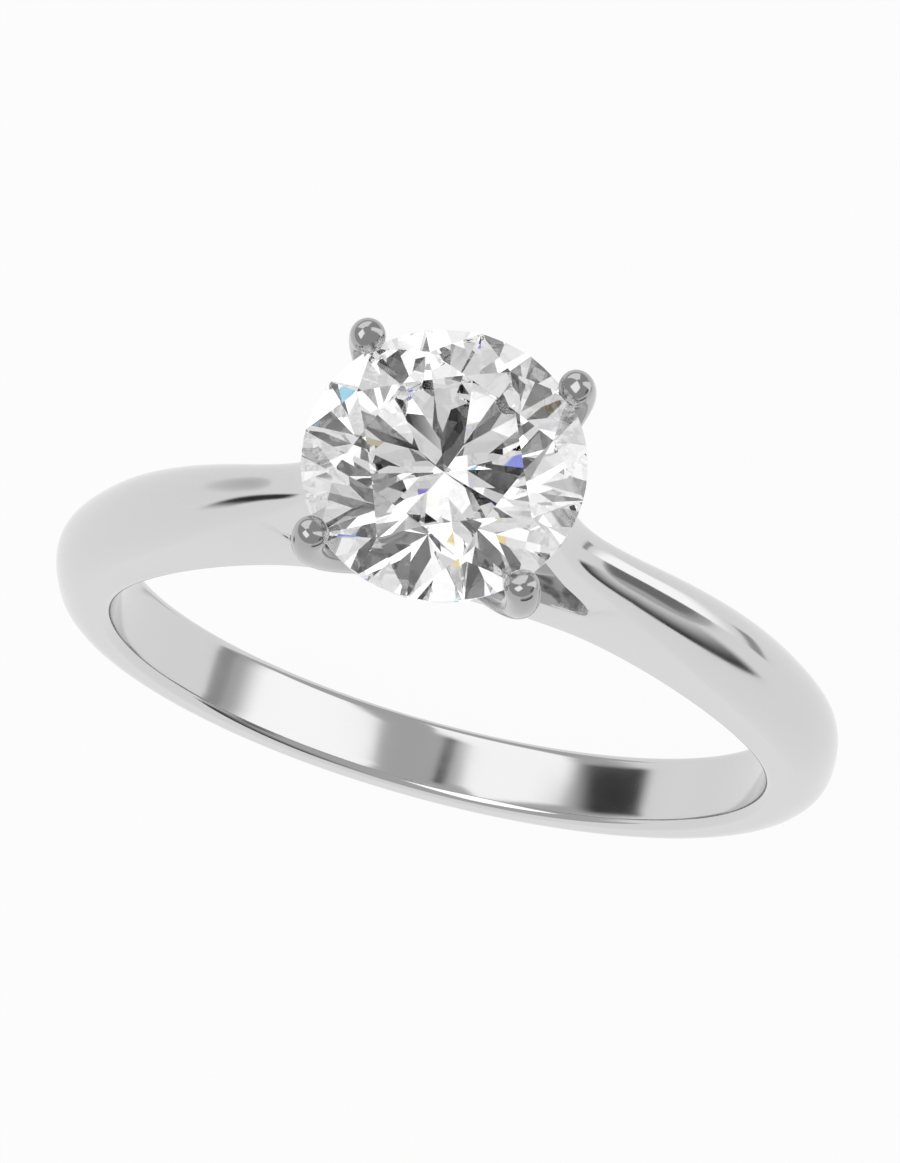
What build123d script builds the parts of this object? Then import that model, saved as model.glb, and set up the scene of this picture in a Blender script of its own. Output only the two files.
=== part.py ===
"""Cathedral solitaire engagement ring: a finger ring whose arched shoulders
carry a four-claw head with one round brilliant stone.

Frame: the origin is the centre of the finger hole, the finger lies along Y,
the stone is up (+Z) and X runs across the ring. Lengths are in millimetres
and angles round the finger are in degrees from the stone's axis.
"""
from build123d import *
import os
from math import cos, radians, sin, tan

os.makedirs("parts", exist_ok=True)

# ---------------------------------------------------------------- ring blank
finger_radius = 8.675        # finger hole, a US size 7
band_half_width = 1.03       # half the band's width along the finger, at the palm and sides
bridge_half_width = 0.64     # the same under the head, where the band is filed narrower
band_taper = (3.0, 8.0)      # distances from the stone's axis between which the width changes
palm_thickness = 1.60        # band's thickness at the palm, to its crown
side_thickness = 1.62        # the same at the sides
bridge_thickness = 1.72      # the same on the bridge under the head
palm_dome = 0.88             # how far the outside curves down to its edges at the palm
side_dome = 0.97             # the same at the sides
bridge_dome = 0.12           # the same on the bridge
bridge_blend = (22, 68)      # angles between which the bridge's section turns into the side's
palm_blend = 80              # the same from the palm, counted from the palm
flat_half = 0.78             # half the straight part of the finger hole, between its rounded rims
comfort_radius = 0.28        # rounding of those rims

# --------------------------------------------------------- cathedral shoulders
seat_depth = 0.775           # metal left under a shoulder, down to the finger hole
shoulder_start = 86.0        # where a shoulder begins, beside the finger
bridge_start = 20.3          # where the bridge begins, under the head
rib_tip_half_width = 0.52    # half the shoulder's width where it meets the head
rib_taper = (2.6, 8.0)       # distances from the stone's axis between which its width changes
# a rib's sections: size at its root, middle and tip, and how far along it the middle lies
rib_dome = (0.97, 1.27, 0.45, 0.52)    # how far its crown curves down to its edges
rib_tilt = (90, 36, 84, 0.67)          # its sections' slant from the stone's axis
rib_depth = (1.05, 3.30, 1.05, 0.77)   # how deep its sections reach inwards
# crown of a rib, from the side of the finger to the head: shares of the way out from the
# gallery rail to the band's side, and of the rail's height
rib_crown = [(1.0, 0.0), (0.971, 0.223), (0.850, 0.420), (0.680, 0.592), (0.468, 0.730),
             (0.299, 0.813), (0.181, 0.872), (0.109, 0.924), (0.059, 0.986), (0.034, 1.038)]
rib_ends = [(0, 1), (-0.2, 1)]         # directions of the crown at its two ends
# window under a shoulder: its bottom corner above the finger hole, then its arch up to
# the head in the same shares
window_rise = 1.845
window_arch = [(0.142, 0.709), (0.118, 0.742), (0.076, 0.782), (0.039, 0.830), (-0.003, 0.893)]

# ----------------------------------------------------------------- the stone
stone_diameter = 6.50        # a one carat round brilliant
girdle_rise = 7.785          # middle of the girdle above the finger hole's top
girdle_thickness = 0.16      # girdle at its thickest, under the facet points
table_share = 0.57           # table's width, of the stone's diameter
crown_angle = 34.5           # bezel facets, degrees from the girdle plane
pavilion_angle = 40.8        # pavilion mains, degrees from the girdle plane
star_share = 0.50            # how far the star facets reach from the table to the girdle
lower_half_share = 0.78      # how far the lower halves reach from the girdle to the culet
stone_turn = 0.0             # how far the stone is turned in its claws

# ------------------------------------------------------------------ the head
claw_radius = 0.42           # claw wire
claw_bead_radius = 0.43      # rounded end of a claw over the girdle
claw_outset = 0.42           # bend of a claw's wire outside the stone's girdle
claw_tip_outset = 0.14       # middle of its rounded end outside the girdle
claw_tip_rise = 0.28         # middle of the rounded end above the girdle's middle
claw_foot_reach = 1.00       # claw from the stone's axis where it stands on the collet
claw_knee_drop = 0.86        # bend where the claw turns in over the stone, below the girdle's middle
claw_bend = 2.2              # radius of that bend
rail_drop = 2.01             # middle of the gallery rail below the girdle's middle
rail_inset = 0.63            # middle of the rail's wire inside the middle of the claws' wire
rail_half_width = 0.25       # half the rail's width
rail_half_height = 0.31      # half the rail's height
rail_rounding = 0.12         # rounded corners of the rail
collet_height = 1.00         # collet, from the bridge to the claws' feet
collet_top_radius = 1.50     # collet's outside under the claws
collet_foot_radius = 1.00    # collet's outside where it stands on the bridge
peg_radius = 0.45            # solder peg under the collet
peg_depth = 0.90             # how deep the peg goes into the bridge
solder_gap = 0.02            # room for solder round the peg

# ----------------------------------------------------------- cutters and lofts
past = 1.0                   # how far a cutter runs past what it cuts
blank_step = 20              # angle between the sections that the blank is lofted through
rib_sections = 16            # sections that a rib is lofted through

# ---------------------------------------------------------- worked-out places
side_radius = finger_radius + side_thickness
seat_radius = finger_radius + seat_depth        # the shoulders lie on the blank at this radius
window_corner = finger_radius + window_rise
bridge_flat = finger_radius + bridge_thickness - bridge_dome    # filed flat for the collet
collet_top = bridge_flat + collet_height
stone_radius = stone_diameter / 2
girdle_height = finger_radius + girdle_rise
claw_reach = stone_radius + claw_outset
claw_tip_reach = stone_radius + claw_tip_outset
claw_knee = girdle_height - claw_knee_drop
claw_tip_height = girdle_height + claw_tip_rise
rail_height = girdle_height - rail_drop
claw_lean = (claw_reach - claw_foot_reach) / (claw_knee - collet_top)
rail_radius = claw_foot_reach + claw_lean * (rail_height - collet_top) - rail_inset
hub_radius = rail_radius + rail_half_width      # outside of the gallery rail
band_width = 2 * band_half_width


def eased(x, low, high, start, end):
    """Value that goes smoothly from start to end while x goes from low to high."""
    t = min(max((abs(x) - low) / (high - low), 0.0), 1.0)
    return start + (end - start) * t * t * (3 - 2 * t)


def band_width_at(x):
    return eased(x, *band_taper, bridge_half_width, band_half_width)


def rib_width_at(x):
    return eased(x, *rib_taper, rib_tip_half_width, band_half_width)


def upright_plane(x, z, tilt):
    """Plane through (x, 0, z) whose sketch has Y across and points tilt degrees off the stone's axis."""
    a = radians(tilt)
    return Plane(origin=(x, 0, z), x_dir=(0, 1, 0), z_dir=(cos(a), 0, -sin(a)))


def domed_section(foot, edge, crown, foot_half, edge_half):
    """Sides from foot up to edge, closed by a half-ellipse dome that rises to crown."""
    Line((-foot_half, foot), (-edge_half, edge))
    EllipticalCenterArc((0, edge), edge_half, crown - edge, start_angle=0, arc_size=180)
    Line((edge_half, edge), (foot_half, foot))
    Line((foot_half, foot), (-foot_half, foot))


# ------------------------------------------------------------------- 1 shank
blank_foot = finger_radius - past / 2       # the blank is drawn into the hole and then bored out


def blank_value_at(angle, at_bridge, at_side, at_palm):
    """Size of the blank's section at an angle, from its values at the bridge, side and palm."""
    if angle < 90:
        return eased(angle, *bridge_blend, at_bridge, at_side)
    return eased(180 - angle, 0, palm_blend, at_palm, at_side)


with BuildPart() as shank:
    # half the blank, one section past each end so that its halves meet smoothly
    for angle in range(-blank_step, 180 + 2 * blank_step, blank_step):
        crown = finger_radius + blank_value_at(angle, bridge_thickness, side_thickness, palm_thickness)
        edge = crown - blank_value_at(angle, bridge_dome, side_dome, palm_dome)
        reach = sin(radians(angle)) if angle < 90 else 1.0
        with BuildSketch(upright_plane(0, 0, angle)):
            with BuildLine():
                domed_section(blank_foot, edge, crown,
                              band_width_at(blank_foot * reach), band_width_at(crown * reach))
            make_face()
    loft()
    split(bisect_by=Plane.YZ, keep=Keep.TOP)
    mirror(about=Plane.YZ)
    # finger hole, with rims rounded by arcs that run out through the band's sides
    rim_radius = finger_radius + comfort_radius
    rim_half = flat_half + comfort_radius
    with BuildSketch(Plane.XY):
        with BuildLine():
            Line((finger_radius, -flat_half), (finger_radius, flat_half))
            RadiusArc((finger_radius, flat_half), (rim_radius, rim_half), comfort_radius)
            Polyline((rim_radius, rim_half), (0, rim_half), (0, -rim_half), (rim_radius, -rim_half))
            RadiusArc((rim_radius, -rim_half), (finger_radius, -flat_half), comfort_radius)
        make_face()
    revolve(axis=Axis.Y, mode=Mode.SUBTRACT)
    # seats for the two shoulders
    cutter_radius = finger_radius + bridge_thickness + past
    for side in (1, -1):
        with BuildSketch(Plane.XZ):
            with BuildLine():
                ends = [(side * sin(radians(a)), cos(radians(a))) for a in (bridge_start, shoulder_start)]
                inner = [(seat_radius * x, seat_radius * z) for x, z in ends]
                outer = [(cutter_radius * x, cutter_radius * z) for x, z in ends]
                RadiusArc(inner[0], inner[1], side * seat_radius)
                Line(inner[1], outer[1])
                RadiusArc(outer[1], outer[0], -side * cutter_radius)
                Line(outer[0], inner[0])
            make_face()
        extrude(amount=band_width, both=True, mode=Mode.SUBTRACT)
    # flat and peg hole for the head
    with BuildSketch(Plane.XY.offset(bridge_flat)):
        Rectangle(2 * (collet_foot_radius + past), 2 * band_width)
    extrude(amount=past, mode=Mode.SUBTRACT)
    with Locations((0, 0, bridge_flat)):
        Hole(radius=peg_radius + solder_gap, depth=peg_depth)

# ---------------------------------------------------------- 2, 3 shoulders
def in_arch(share_out, share_up):
    """Point (x, z) of the arch, from its shares of the way out and of the rail's height."""
    return (hub_radius + share_out * (side_radius - hub_radius), share_up * rail_height)


def rib_value_at(along, root, middle, tip, middle_place):
    """Size of a rib's section, eased from its root to its middle and on to its tip."""
    if along < middle_place:
        return eased(along, 0, middle_place, root, middle)
    return eased(along, middle_place, 1, middle, tip)


with BuildLine(Plane.XZ) as crown_line:
    Spline(*[in_arch(*share) for share in rib_crown], tangents=rib_ends)

with BuildPart() as shoulder_right:
    for step in range(rib_sections):
        along = step / (rib_sections - 1)
        crown = crown_line.line @ along
        tilt = rib_value_at(along, *rib_tilt)
        depth = rib_value_at(along, *rib_depth)
        dome = rib_value_at(along, *rib_dome)
        inwards = Vector(-sin(radians(tilt)), 0, -cos(radians(tilt)))
        foot = crown + inwards * depth
        edge = crown + inwards * dome
        with BuildSketch(upright_plane(foot.X, foot.Z, tilt)):
            with BuildLine():
                domed_section(0, depth - dome, depth, rib_width_at(foot.X), rib_width_at(edge.X))
            make_face()
    loft()
    split(bisect_by=upright_plane(0, 0, shoulder_start), keep=Keep.BOTTOM)
    Cylinder(seat_radius, 2 * band_width, rotation=(90, 0, 0), mode=Mode.SUBTRACT)
    # window beside the head
    corner_turn = radians(bridge_start)
    with BuildSketch(Plane.XZ):
        with BuildLine():
            corner = (window_corner * sin(corner_turn), window_corner * cos(corner_turn))
            arch = Spline(corner, *[in_arch(*share) for share in window_arch])
            Polyline(arch @ 1, (0, (arch @ 1).Y), (0, 0), corner)
        make_face()
    extrude(amount=band_width, both=True, mode=Mode.SUBTRACT)
    # end that butts against the gallery rail
    with BuildSketch(Plane.XY.offset(finger_radius)):
        Circle(hub_radius)
    extrude(amount=finger_radius, mode=Mode.SUBTRACT)

with BuildPart() as shoulder_left:
    mirror(shoulder_right.part.solid(), about=Plane.YZ)

# ------------------------------------------------------------- 4 centre stone
half_girdle = girdle_thickness / 2
crown_slope = tan(radians(crown_angle))
pavilion_slope = tan(radians(pavilion_angle))
table_radius = table_share * stone_radius
crown_height = (stone_radius - table_radius) * crown_slope
pavilion_depth = stone_radius * pavilion_slope
eighth = radians(360 / 8)
table_edge = table_radius * cos(eighth / 2)
star_reach = table_edge + star_share * (stone_radius - table_edge)
lower_reach = (1 - lower_half_share) * stone_radius
gem_top = half_girdle + crown_height
gem_foot = half_girdle + pavilion_depth


def gem_point(reach, turn, height):
    """Point of the stone: distance from its axis, turn in eighths, height above the girdle's middle."""
    a = turn * eighth + radians(stone_turn)
    return Vector(reach * cos(a), reach * sin(a), girdle_height + height)


def facet(first, second, third):
    """Plane of the facet through three points, its normal pointing out of the stone."""
    normal = (second - first).cross(third - first).normalized()
    middle = Vector(0, 0, girdle_height)
    if normal.dot(first - middle) < 0:
        normal = normal * -1
    return Plane(origin=first, z_dir=normal)


def facets_from(turn):
    """The seven facets of the stone's eighth that starts at turn."""
    star = gem_point(star_reach, turn + 0.5,
                     half_girdle + (stone_radius - star_reach * cos(eighth / 2)) * crown_slope)
    low = gem_point(lower_reach, turn + 0.5,
                    -half_girdle - (stone_radius - lower_reach * cos(eighth / 2)) * pavilion_slope)
    table = [gem_point(table_radius, turn + step, gem_top) for step in (0, 1)]
    above = [gem_point(stone_radius, turn + step, half_girdle) for step in (0, 0.5, 1)]
    below = [gem_point(stone_radius, turn + step, -half_girdle) for step in (0, 0.5, 1)]
    side = Vector(-sin(turn * eighth + radians(stone_turn)), cos(turn * eighth + radians(stone_turn)), 0)
    culet = gem_point(0, 0, -gem_foot)
    return [
        facet(above[0], table[0], above[0] + side),      # bezel
        facet(table[0], table[1], star),                 # star
        facet(star, above[0], above[1]),                 # upper halves
        facet(star, above[1], above[2]),
        facet(below[0], culet, below[0] + side),         # pavilion main
        facet(low, below[0], below[1]),                  # lower halves
        facet(low, below[1], below[2]),
    ]


with BuildPart() as centre_stone:
    with BuildSketch(Plane.XY.offset(girdle_height - gem_foot)):
        Circle(stone_radius)
    extrude(amount=gem_foot + gem_top)
    for turn in range(8):
        for cut in facets_from(turn):
            split(bisect_by=cut, keep=Keep.BOTTOM)

# ------------------------------------------------------------ 5 gallery rail
with BuildPart() as gallery_rail:
    with BuildSketch(Plane.XZ):
        with Locations((rail_radius, rail_height)):
            RectangleRounded(2 * rail_half_width, 2 * rail_half_height, rail_rounding)
    revolve(axis=Axis.Z)

# ------------------------------------------------------------ 6 base collet
with BuildPart() as base_collet:
    with BuildSketch(Plane.XY.offset(bridge_flat)):
        Circle(collet_foot_radius)
    with BuildSketch(Plane.XY.offset(collet_top)):
        Circle(collet_top_radius)
    loft()
    with Locations((0, 0, collet_top)):
        Hole(radius=peg_radius + solder_gap)

# --------------------------------------------------------------- 7 head peg
with BuildPart() as head_peg:
    with BuildSketch(Plane.XY.offset(bridge_flat - peg_depth)):
        Circle(peg_radius)
    extrude(amount=peg_depth + collet_height)

# ----------------------------------------------------------------- 8-11 claws
claws = {}
for name, turn in (("front_right", -45), ("back_right", 45), ("back_left", 135), ("front_left", 225)):
    a = radians(turn)
    claw_plane = Plane(origin=(0, 0, 0), x_dir=(cos(a), sin(a), 0), z_dir=(sin(a), -cos(a), 0))
    with BuildPart() as claw:
        with BuildLine(claw_plane) as wire:
            FilletPolyline((claw_foot_reach - past * claw_lean, collet_top - past),
                           (claw_reach, claw_knee), (claw_tip_reach, claw_tip_height), radius=claw_bend)
        with BuildSketch(Plane(origin=wire.line @ 0, z_dir=wire.line % 0)):
            Circle(claw_radius)
        sweep(path=wire.line)
        with Locations(claw_plane.from_local_coords((claw_tip_reach, claw_tip_height, 0))):
            Sphere(claw_bead_radius)
        split(bisect_by=Plane.XY.offset(collet_top), keep=Keep.TOP)
        add(gallery_rail.part, mode=Mode.SUBTRACT)
        add(centre_stone.part, mode=Mode.SUBTRACT)
    claws[f"claw_{name}"] = claw

# ------------------------------------------------------------------- output
pieces = {
    "shank": shank,
    "shoulder_left": shoulder_left,
    "shoulder_right": shoulder_right,
    "base_collet": base_collet,
    "head_peg": head_peg,
    "gallery_rail": gallery_rail,
    "centre_stone": centre_stone,
    **claws,
}
for name, piece in pieces.items():
    piece.part.label = name
    export_step(piece.part, f"parts/{name}.step")
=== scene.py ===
"""Cathedral solitaire ring: polished surfaces, finishes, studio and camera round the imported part."""
import logging
import math
from dataclasses import dataclass
from enum import Enum
from typing import Any, Iterable, Sequence

import bmesh
import bpy
import numpy as np
from bpy.types import Material, Mesh, Node, NodeOutputs, NodeSocket, NodeTree, Object
from mathutils import Matrix, Vector


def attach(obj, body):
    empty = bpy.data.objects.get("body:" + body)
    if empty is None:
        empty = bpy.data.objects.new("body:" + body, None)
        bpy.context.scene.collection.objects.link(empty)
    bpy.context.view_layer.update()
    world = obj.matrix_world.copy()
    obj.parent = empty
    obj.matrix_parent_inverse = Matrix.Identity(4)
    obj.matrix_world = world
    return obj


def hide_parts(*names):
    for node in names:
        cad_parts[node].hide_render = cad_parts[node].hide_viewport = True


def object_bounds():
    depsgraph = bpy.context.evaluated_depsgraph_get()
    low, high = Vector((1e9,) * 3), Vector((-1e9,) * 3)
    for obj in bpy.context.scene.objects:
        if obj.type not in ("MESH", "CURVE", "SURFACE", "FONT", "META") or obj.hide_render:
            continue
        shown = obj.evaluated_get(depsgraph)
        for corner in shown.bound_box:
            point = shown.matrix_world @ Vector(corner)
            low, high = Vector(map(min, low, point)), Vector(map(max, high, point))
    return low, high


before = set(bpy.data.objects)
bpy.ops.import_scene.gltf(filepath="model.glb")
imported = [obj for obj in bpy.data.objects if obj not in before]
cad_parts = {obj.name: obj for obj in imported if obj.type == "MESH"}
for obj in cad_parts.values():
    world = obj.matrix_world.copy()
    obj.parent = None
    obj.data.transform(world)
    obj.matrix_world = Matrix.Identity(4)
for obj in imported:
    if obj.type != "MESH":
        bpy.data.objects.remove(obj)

CAD_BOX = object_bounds()
LOG = logging.getLogger("ring")
MM = 0.001
SHARP_ANGLE = math.radians(35)      # an edge that turns more than this is rounded off
FLAT_ANGLE = math.radians(0.4)      # faces that turn less than this are one facet
SAME_POINT = 1e-5                   # corners nearer than this are one, in millimetres
Point = tuple[float, float]


class Slot(Enum):
    """The record's material slots."""

    METAL = "white_gold"
    STONE = "diamond"


class Side(Enum):
    """Where a claw stands: its node's name and its turn about the stone's axis, in degrees."""

    FRONT_RIGHT = ("claw_front_right", -45.0)
    BACK_RIGHT = ("claw_back_right", 45.0)
    BACK_LEFT = ("claw_back_left", 135.0)
    FRONT_LEFT = ("claw_front_left", 225.0)


class Seen(Enum):
    """What a studio card shows up in: the camera and matt surfaces never see one."""

    METAL = "metal"
    STONE = "stone"
    BOTH = "both"


def srgb(colour: str) -> tuple[float, float, float, float]:
    """Turns a colour to linear values, as the shader sockets take it.

    Args:
        colour: its sRGB hex value, with a hash sign.

    Returns:
        Linear red, green and blue, and full opacity.
    """
    parts = [int(colour[i:i + 2], 16) / 255 for i in (1, 3, 5)]
    linear = [c / 12.92 if c <= 0.04045 else ((c + 0.055) / 1.055) ** 2.4 for c in parts]
    return (linear[0], linear[1], linear[2], 1.0)


def eased(x: float, low: float, high: float, start: float, end: float) -> float:
    """Value that goes smoothly from start to end while x goes from low to high."""
    t = min(max((abs(x) - low) / (high - low), 0.0), 1.0)
    return start + (end - start) * t * t * (3 - 2 * t)


def mixed(a: float, b: float, share: float) -> float:
    """Value a share of the way from a to b."""
    return a + (b - a) * share


def add_node(tree: NodeTree, kind: str, links: dict[Any, Any] | None = None,
             values: dict[Any, Any] | None = None, **settings: Any) -> Node:
    """Adds one node with its settings and links.

    Args:
        tree: the node tree it goes into.
        kind: the node's type name.
        links: its input's name or number, to the socket that feeds it.
        values: its input's name or number, to a fixed value.
        **settings: the node's own properties.

    Returns:
        The new node.
    """
    node = tree.nodes.new(kind)
    for key, value in settings.items():
        setattr(node, key, value)
    for key, value in (values or {}).items():
        node.inputs[key].default_value = value
    for key, socket in (links or {}).items():
        tree.links.new(socket, node.inputs[key])
    return node


def reckon(tree: NodeTree, operation: str, *terms: float | NodeSocket,
           clamp: bool = False) -> NodeSocket:
    """Adds one arithmetic node.

    Args:
        tree: the node tree it goes into.
        operation: the sum it does.
        *terms: its numbers or the sockets that feed it, in order.
        clamp: keeps the result between 0 and 1.

    Returns:
        The socket with the result.
    """
    links = {i: term for i, term in enumerate(terms) if isinstance(term, NodeSocket)}
    values = {i: term for i, term in enumerate(terms) if i not in links}
    return add_node(tree, "ShaderNodeMath", links, values, operation=operation,
                    use_clamp=clamp).outputs[0]


def vector(tree: NodeTree, **parts: NodeSocket) -> NodeSocket:
    """Adds a node that makes a vector of the parts X, Y and Z that are given."""
    return add_node(tree, "ShaderNodeCombineXYZ", parts).outputs[0]


def start_shape(name: str, sizes: Iterable[str]) -> tuple[NodeTree, NodeOutputs]:
    """Starts a geometry node tree that takes named sizes and a material.

    Args:
        name: the tree's name.
        sizes: the names of its sizes.

    Returns:
        The tree, and its inputs as sockets by name.
    """
    tree = bpy.data.node_groups.new(name, "GeometryNodeTree")
    for size in sizes:
        tree.interface.new_socket(name=size, in_out="INPUT", socket_type="NodeSocketFloat")
    tree.interface.new_socket(name="Material", in_out="INPUT", socket_type="NodeSocketMaterial")
    tree.interface.new_socket(name="Geometry", in_out="OUTPUT", socket_type="NodeSocketGeometry")
    return tree, add_node(tree, "NodeGroupInput").outputs


def end_shape(tree: NodeTree, shape: Node, given: NodeOutputs) -> None:
    """Ends a geometry node tree: real geometry with its material.

    Args:
        tree: the tree.
        shape: its last node, whose first output is the finished shape.
        given: the tree's inputs, as sockets by name.
    """
    real = add_node(tree, "GeometryNodeRealizeInstances", {"Geometry": shape.outputs[0]})
    dressed = add_node(tree, "GeometryNodeSetMaterial",
                       {"Geometry": real.outputs[0], "Material": given["Material"]})
    add_node(tree, "NodeGroupOutput", {"Geometry": dressed.outputs[0]})


def new_material(name: str) -> tuple[Material, NodeTree]:
    """Adds a material.

    Args:
        name: its name.

    Returns:
        The material, and its node tree.
    """
    material = bpy.data.materials.new(name)
    material.use_nodes = True
    return material, material.node_tree


def new_object(name: str, mesh: Mesh) -> Object:
    """Puts a mesh into the scene.

    Args:
        name: the object's name.
        mesh: its mesh.

    Returns:
        The object, at the origin.
    """
    piece = bpy.data.objects.new(name, mesh)
    bpy.context.scene.collection.objects.link(piece)
    return piece


def mesh_from(name: str, points: Sequence[Sequence[float]], faces: Sequence[Sequence[int]],
              bevel: float) -> Mesh:
    """Closed smooth mesh from points in millimetres.

    Args:
        name: the mesh's name.
        points: its corners, in millimetres.
        faces: its faces, as lists of corner numbers.
        bevel: width of the rounding on its sharp edges, in millimetres.

    Returns:
        The mesh, in metres, with its faces pointing outwards.
    """
    mesh = bpy.data.meshes.new(name)
    work = bmesh.new()
    corners = [work.verts.new(p) for p in points]
    for face in faces:
        work.faces.new([corners[i] for i in face])
    bmesh.ops.remove_doubles(work, verts=work.verts, dist=SAME_POINT)
    bmesh.ops.recalc_face_normals(work, faces=work.faces)
    sharp = [e for e in work.edges if len(e.link_faces) == 2 and e.calc_face_angle() > SHARP_ANGLE]
    bmesh.ops.bevel(work, geom=sharp, offset=bevel, segments=3, profile=0.5, affect="EDGES",
                    clamp_overlap=True)
    bmesh.ops.scale(work, vec=(MM, MM, MM), verts=work.verts)
    for face in work.faces:
        face.smooth = True
    work.to_mesh(mesh)
    work.free()
    return mesh


class SmoothLine:
    """Curve with even curvature through points in a plane, with a set direction at each end."""

    def __init__(self, points: Sequence[Point], start: Point, end: Point) -> None:
        """Solves the curve.

        Args:
            points: the points that it goes through.
            start: unit direction at the first point.
            end: unit direction at the last point.
        """
        self.points = np.array(points, float)
        steps = np.linalg.norm(np.diff(self.points, axis=0), axis=1)
        self.places = np.concatenate([[0.0], np.cumsum(steps)])
        count = len(points)
        system = np.zeros((count, count))
        known = np.zeros((count, 2))
        system[0, 0] = system[-1, -1] = 1.0
        known[0], known[-1] = start, end
        for i in range(1, count - 1):
            before, after = steps[i - 1], steps[i]
            system[i, i - 1:i + 2] = (1 / before, 2 / before + 2 / after, 1 / after)
            known[i] = 3 * ((self.points[i] - self.points[i - 1]) / before ** 2
                            + (self.points[i + 1] - self.points[i]) / after ** 2)
        self.slopes = np.linalg.solve(system, known)

    def at(self, share: float) -> np.ndarray:
        """Finds a point on the curve.

        Args:
            share: its share of the way along, 0 to 1.

        Returns:
            The point.
        """
        place = share * self.places[-1]
        i = int(min(max(np.searchsorted(self.places, place) - 1, 0), len(self.places) - 2))
        step = self.places[i + 1] - self.places[i]
        t = (place - self.places[i]) / step
        return ((1 + 2 * t) * (1 - t) ** 2 * self.points[i] + t * t * (3 - 2 * t) * self.points[i + 1]
                + step * t * (1 - t) ** 2 * self.slopes[i] - step * t * t * (1 - t) * self.slopes[i + 1])


# ------------------------------------------------------------------ finishes
@dataclass(frozen=True)
class PolishedGold:
    """White gold, rhodium plated, then mirror polished on a wheel (millimetres).

    To the eye it is a neutral light grey mirror: what it shows is the studio, a little softened,
    with a faint haze of wheel marks where the light is low.
    """

    name: str = "white_gold_rhodium_mirror_polish"
    colour: str = "#d7d7d7"
    roughness: float = 0.09
    haze: float = 0.05            # how much the polishing haze adds to the roughness
    haze_levels: Point = (0.35, 0.75)     # noise at which the haze starts and is full
    haze_size: float = 1.6        # width of a hazy patch
    mark_size: float = 0.18       # spacing of wheel marks; real ones are ten times finer
    mark_depth: float = 0.00002   # depth of those marks

    def material(self) -> Material:
        """Builds the finish.

        Returns:
            The material.
        """
        material, tree = new_material(self.name)
        shader = tree.nodes["Principled BSDF"]
        shader.inputs["Base Color"].default_value = srgb(self.colour)
        shader.inputs["Metallic"].default_value = 1.0
        place = add_node(tree, "ShaderNodeTexCoord")
        patches = add_node(tree, "ShaderNodeTexNoise", {"Vector": place.outputs["Object"]},
                           {"Scale": 1 / (self.haze_size * MM), "Detail": 3.0})
        rough = add_node(tree, "ShaderNodeMapRange", {"Value": patches.outputs["Fac"]},
                         {"From Min": self.haze_levels[0], "From Max": self.haze_levels[1],
                          "To Min": self.roughness, "To Max": self.roughness + self.haze})
        marks = add_node(tree, "ShaderNodeTexNoise", {"Vector": place.outputs["Object"]},
                         {"Scale": 1 / (self.mark_size * MM), "Detail": 2.0})
        bump = add_node(tree, "ShaderNodeBump", {"Height": marks.outputs["Fac"]},
                        {"Strength": 0.5, "Distance": self.mark_depth * MM})
        tree.links.new(rough.outputs["Result"], shader.inputs["Roughness"])
        tree.links.new(bump.outputs["Normal"], shader.inputs["Normal"])
        return material


@dataclass(frozen=True)
class CutDiamond:
    """Diamond, cut and polished facet by facet.

    To the eye it is colourless and far brighter and darker than glass: its high index throws
    back light from inside, as hard-edged black, grey and white patches.
    """

    name: str = "diamond_polished_facets"
    index: float = 2.417

    def material(self) -> Material:
        """Builds the finish.

        Returns:
            The material.
        """
        material, tree = new_material(self.name)
        shader = tree.nodes["Principled BSDF"]
        shader.inputs["Base Color"].default_value = srgb("#ffffff")
        shader.inputs["Roughness"].default_value = 0.0
        shader.inputs["IOR"].default_value = self.index
        shader.inputs["Transmission Weight"].default_value = 1.0
        return material


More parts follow.
